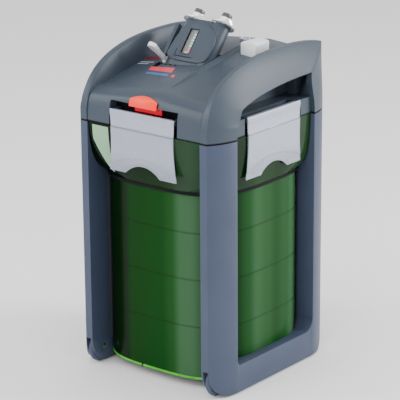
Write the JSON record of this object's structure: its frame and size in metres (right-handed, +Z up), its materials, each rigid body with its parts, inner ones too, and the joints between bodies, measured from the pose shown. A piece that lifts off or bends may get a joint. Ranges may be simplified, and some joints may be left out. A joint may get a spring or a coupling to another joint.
{
  "type": "canister filter",
  "caption": "External aquarium canister filter: see-through tank in side frames on rollers, pump head with carrying arches, swing clips, tilted hose adapter and priming button.",
  "frame": {"origin": "on the floor, under the middle of the tank", "axes": "+Z up, +X to the filter's right as seen from its front, -Y out of the front clip; the hose adapter leans back towards +Y"},
  "size_m": [0.276, 0.287, 0.5343],
  "materials": {
    "tank_green": "gloss, see-through green",
    "frame_plastic": "satin",
    "head_plastic": "satin",
    "dark_plastic": "matte",
    "roller_plastic": "matte",
    "clip_plastic": "silver, satin",
    "catch_plastic": "gloss",
    "white_plastic": "satin",
    "scale_green": "printed",
    "clear_plastic": "clear",
    "basket_plastic": "satin",
    "foam_blue": "open foam",
    "foam_white": "fleece",
    "media_fill": "loose fill",
    "seal_rubber": "matte",
    "steel": "bright",
    "magnet": "satin",
    "ceramic": "polished",
    "cast_resin": "cast"
  },
  "bodies": {
    "chassis": {"tank": "tank_green", "tank_collar": "tank_green", "side_frame_left": "frame_plastic", "side_frame_right": "frame_plastic", "base_rail_front": "dark_plastic", "base_rail_rear": "dark_plastic", "roller_axles": "steel", "frame_screws": "steel", "head_cover": "head_plastic", "arch_left": "head_plastic", "arch_right": "head_plastic", "head_base": "dark_plastic", "head_seal": "seal_rubber", "clip_pins": "steel", "adapter_seat": "dark_plastic", "priming_cylinder": "dark_plastic", "vent_cap": "clip_plastic", "motor_block": "cast_resin", "pump_shaft": "ceramic", "bush_upper": "seal_rubber", "bush_lower": "seal_rubber", "pump_lid": "dark_plastic", "cord_gland": "seal_rubber", "riser_tube": "dark_plastic", "prefilter_basket": "basket_plastic", "coarse_foam": "foam_blue", "fine_pad": "foam_white", "basket_lower": "basket_plastic", "basket_middle": "basket_plastic", "basket_upper": "basket_plastic", "media_lower": "media_fill", "media_middle": "media_fill", "media_upper": "media_fill", "priming_spring": "steel"},
    "roller_front_left_body": {"roller_front_left": "roller_plastic"},
    "roller_front_right_body": {"roller_front_right": "roller_plastic"},
    "roller_rear_left_body": {"roller_rear_left": "roller_plastic"},
    "roller_rear_right_body": {"roller_rear_right": "roller_plastic"},
    "clip_front_body": {"clip_front": "clip_plastic"},
    "clip_rear_body": {"clip_rear": "clip_plastic"},
    "clip_left_body": {"clip_left": "clip_plastic"},
    "clip_right_body": {"clip_right": "clip_plastic"},
    "adapter": {"adapter_body": "head_plastic", "adapter_rings": "seal_rubber", "hose_connector": "clip_plastic", "hose_spigot_left": "dark_plastic", "hose_spigot_right": "dark_plastic", "flow_scale": "scale_green", "flow_window": "clear_plastic"},
    "valve": {"flow_lever": "clip_plastic", "valve_spindle": "steel", "valve_ball_left": "white_plastic", "valve_ball_right": "white_plastic"},
    "float": {"float_ball": "white_plastic"},
    "button": {"priming_button": "clip_plastic", "priming_piston": "white_plastic", "piston_seal": "seal_rubber"},
    "catch": {"safety_catch": "catch_plastic"},
    "impeller_set": {"rotor_magnet": "magnet", "impeller": "white_plastic"}
  },
  "joints": [
    {"name": "roller_front_left_spin", "type": "hinge", "parent": "chassis", "child": "roller_front_left_body", "pos_m": [-0.114, -0.1135, 0.025], "axis": [1, 0, 0], "continuous": true},
    {"name": "roller_front_right_spin", "type": "hinge", "parent": "chassis", "child": "roller_front_right_body", "pos_m": [0.114, -0.1135, 0.025], "axis": [1, 0, 0], "continuous": true},
    {"name": "roller_rear_left_spin", "type": "hinge", "parent": "chassis", "child": "roller_rear_left_body", "pos_m": [-0.114, 0.1135, 0.025], "axis": [1, 0, 0], "continuous": true},
    {"name": "roller_rear_right_spin", "type": "hinge", "parent": "chassis", "child": "roller_rear_right_body", "pos_m": [0.114, 0.1135, 0.025], "axis": [1, 0, 0], "continuous": true},
    {"name": "clip_front_hinge", "type": "hinge", "parent": "chassis", "child": "clip_front_body", "pos_m": [0, -0.136, 0.411], "axis": [-1, 0, 0], "range_deg": [0, 90]},
    {"name": "clip_rear_hinge", "type": "hinge", "parent": "chassis", "child": "clip_rear_body", "pos_m": [0, 0.136, 0.411], "axis": [1, 0, 0], "range_deg": [0, 90]},
    {"name": "clip_left_hinge", "type": "hinge", "parent": "chassis", "child": "clip_left_body", "pos_m": [-0.127, 0, 0.411], "axis": [0, 1, 0], "range_deg": [0, 90]},
    {"name": "clip_right_hinge", "type": "hinge", "parent": "chassis", "child": "clip_right_body", "pos_m": [0.127, 0, 0.411], "axis": [0, -1, 0], "range_deg": [0, 90]},
    {"name": "adapter_lift", "type": "slide", "parent": "chassis", "child": "adapter", "axis": [0, 0.6428, 0.766], "range_m": [0, 0.03]},
    {"name": "flow_lever_turn", "type": "hinge", "parent": "adapter", "child": "valve", "pos_m": [-0.066, -0.00415, 0.46021], "axis": [-1, 0, 0], "range_deg": [-25, 60]},
    {"name": "float_rise", "type": "slide", "parent": "adapter", "child": "float", "axis": [0, 0.6428, 0.766], "range_m": [0, 0.03]},
    {"name": "priming_push", "type": "slide", "parent": "chassis", "child": "button", "axis": [0, 0, -1], "range_m": [0, 0.012], "stiffness_N_per_m": 300, "springref_m": -0.01, "deforming": ["priming_spring"]},
    {"name": "catch_slide", "type": "slide", "parent": "chassis", "child": "catch", "axis": [0, 0, 1], "range_m": [0, 0.005]},
    {"name": "impeller_spin", "type": "hinge", "parent": "chassis", "child": "impeller_set", "pos_m": [0.05, -0.046, 0.4], "axis": [0, 0, 1], "continuous": true}
  ]
}
